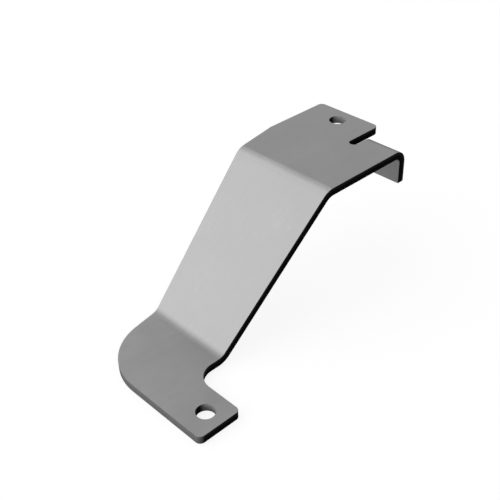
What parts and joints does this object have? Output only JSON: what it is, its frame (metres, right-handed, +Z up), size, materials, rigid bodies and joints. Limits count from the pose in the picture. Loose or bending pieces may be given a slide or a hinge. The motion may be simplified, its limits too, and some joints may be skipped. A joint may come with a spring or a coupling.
{
  "type": "stamped metal bracket",
  "caption": "Folded sheet-steel offset bracket: a rounded foot with a screw tab, a sloping web, and a raised platform with a slotted rear tab and a short down-turned flange.",
  "frame": {"origin": "centre of the foot's screw hole, on the foot's underside", "axes": "+Z up out of the foot's hole, +X along the bracket from foot to platform, +Y across it, away from the foot's screw tab"},
  "size_m": [0.1318, 0.071, 0.0465],
  "materials": {
    "sheet_steel": "satin mill finish with dark sheared edges"
  },
  "bodies": {
    "root": {"bracket": "sheet_steel"}
  },
  "joints": []
}
